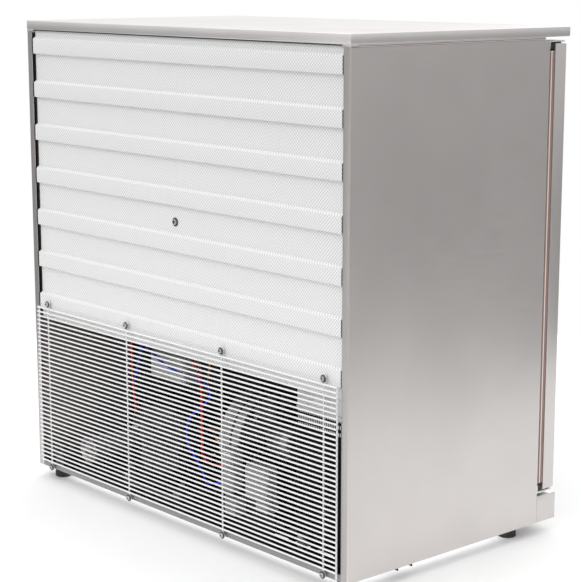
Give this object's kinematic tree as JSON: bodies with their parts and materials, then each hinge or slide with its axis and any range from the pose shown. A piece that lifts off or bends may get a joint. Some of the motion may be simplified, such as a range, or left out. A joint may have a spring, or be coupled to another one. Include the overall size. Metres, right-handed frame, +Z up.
{
  "type": "refrigerated back-bar cabinet",
  "caption": "Two-door refrigerated bottle cabinet with a steel worktop, glass doors, wire shelves and a grille-covered machine room at the rear.",
  "frame": {"origin": "middle of the footprint, on the floor", "axes": "+Z up, +X to the right of a person facing the doors, +Y to the rear grille"},
  "size_m": [0.9, 0.525, 0.9],
  "materials": {
    "stainless_sheet": "satin brushed stainless steel",
    "worktop_steel": "satin stainless steel worktop",
    "white_sheet": "white coated embossed sheet",
    "white_wire": "white epoxy-coated wire",
    "galvanised_sheet": "galvanised steel sheet",
    "black_steel": "gloss black paint",
    "aluminium_sheet": "mill aluminium",
    "foam": "polyurethane foam behind its skins",
    "glass": "clear float glass",
    "gasket": "soft extruded magnetic gasket",
    "bright_steel": "zinc-plated bright steel",
    "grey_plastic": "light grey moulded plastic",
    "black_plastic": "black moulded plastic",
    "foot_rubber": "black rubber",
    "copper": "drawn copper",
    "red_cable": "red wire insulation",
    "blue_cable": "blue wire insulation"
  },
  "bodies": {
    "cabinet": {"left_side_panel": "stainless_sheet", "right_side_panel": "stainless_sheet", "worktop": "worktop_steel", "insulation_foam": "foam", "inner_liner": "aluminium_sheet", "centre_mullion": "aluminium_sheet", "rear_panel": "white_sheet", "base_pan": "galvanised_sheet", "base_crossbar": "black_steel", "front_plinth": "stainless_sheet", "control_panel": "black_plastic", "left_top_hinge": "bright_steel", "left_bottom_hinge": "bright_steel", "right_top_hinge": "bright_steel", "right_bottom_hinge": "bright_steel", "rear_grille": "white_wire", "top_left_screw": "bright_steel", "bottom_left_screw": "bright_steel", "top_right_screw": "bright_steel", "bottom_right_screw": "bright_steel", "compressor": "black_steel", "compressor_base": "galvanised_sheet", "starter_box": "grey_plastic", "condenser_coil": "aluminium_sheet", "fan_shroud": "galvanised_sheet", "fan_motor": "black_steel", "junction_box": "grey_plastic", "filter_drier": "copper", "liquid_receiver": "black_steel", "cable_gland": "black_plastic", "discharge_pipe": "copper", "suction_pipe": "copper", "red_wire": "red_cable", "blue_wire": "blue_cable", "evaporator_cover": "white_sheet", "evaporator_coil": "aluminium_sheet", "left_lower_shelf": "white_wire", "left_upper_shelf": "white_wire", "right_lower_shelf": "white_wire", "right_upper_shelf": "white_wire"},
    "left_door": {"left_door_frame": "stainless_sheet", "left_outer_pane": "glass", "left_inner_pane": "glass", "left_door_gasket": "gasket"},
    "right_door": {"right_door_frame": "stainless_sheet", "right_outer_pane": "glass", "right_inner_pane": "glass", "right_door_gasket": "gasket"},
    "left_lock": {"left_door_lock": "bright_steel"},
    "right_lock": {"right_door_lock": "bright_steel"},
    "condenser_fan": {"fan_blade": "black_plastic"},
    "evaporator_fan": {"evaporator_blade": "black_plastic"},
    "set_button": {"set_button": "grey_plastic"},
    "down_button": {"down_button": "grey_plastic"},
    "up_button": {"up_button": "grey_plastic"},
    "light_switch": {"light_switch": "black_plastic"},
    "front_left_foot": {"front_left_foot": "foot_rubber"},
    "front_right_foot": {"front_right_foot": "foot_rubber"},
    "rear_left_foot": {"rear_left_foot": "foot_rubber"},
    "rear_right_foot": {"rear_right_foot": "foot_rubber"}
  },
  "joints": [
    {"name": "left_door_hinge", "type": "hinge", "parent": "cabinet", "child": "left_door", "pos_m": [-0.438, -0.24, 0.477], "axis": [0, 0, -1], "range_deg": [0, 110]},
    {"name": "left_lock_turn", "type": "hinge", "parent": "left_door", "child": "left_lock", "pos_m": [-0.025, -0.2534, 0.7819], "axis": [0, -1, 0], "range_deg": [0, 90]},
    {"name": "right_door_hinge", "type": "hinge", "parent": "cabinet", "child": "right_door", "pos_m": [0.438, -0.24, 0.477], "axis": [0, 0, 1], "range_deg": [0, 110]},
    {"name": "right_lock_turn", "type": "hinge", "parent": "right_door", "child": "right_lock", "pos_m": [0.025, -0.2534, 0.7819], "axis": [0, -1, 0], "range_deg": [0, 90]},
    {"name": "condenser_fan_spin", "type": "hinge", "parent": "cabinet", "child": "condenser_fan", "pos_m": [-0.121, 0.121, 0.172], "axis": [1, 0, 0], "continuous": true},
    {"name": "evaporator_fan_spin", "type": "hinge", "parent": "cabinet", "child": "evaporator_fan", "pos_m": [0, 0.15, 0.768], "axis": [0, 1, 0], "continuous": true},
    {"name": "set_button_press", "type": "slide", "parent": "cabinet", "child": "set_button", "axis": [0, 1, 0], "range_m": [0, 0.0008], "stiffness_N_per_m": 400, "springref_m": -0.001},
    {"name": "down_button_press", "type": "slide", "parent": "cabinet", "child": "down_button", "axis": [0, 1, 0], "range_m": [0, 0.0008], "stiffness_N_per_m": 400, "springref_m": -0.001},
    {"name": "up_button_press", "type": "slide", "parent": "cabinet", "child": "up_button", "axis": [0, 1, 0], "range_m": [0, 0.0008], "stiffness_N_per_m": 400, "springref_m": -0.001},
    {"name": "light_switch_rock", "type": "hinge", "parent": "cabinet", "child": "light_switch", "pos_m": [0.361, -0.2574, 0.0484], "axis": [1, 0, 0], "range_deg": [0, 10]},
    {"name": "front_left_foot_height", "type": "slide", "parent": "cabinet", "child": "front_left_foot", "axis": [0, 0, -1], "range_m": [0, 0.012]},
    {"name": "front_right_foot_height", "type": "slide", "parent": "cabinet", "child": "front_right_foot", "axis": [0, 0, -1], "range_m": [0, 0.012]},
    {"name": "rear_left_foot_height", "type": "slide", "parent": "cabinet", "child": "rear_left_foot", "axis": [0, 0, -1], "range_m": [0, 0.012]},
    {"name": "rear_right_foot_height", "type": "slide", "parent": "cabinet", "child": "rear_right_foot", "axis": [0, 0, -1], "range_m": [0, 0.012]}
  ]
}
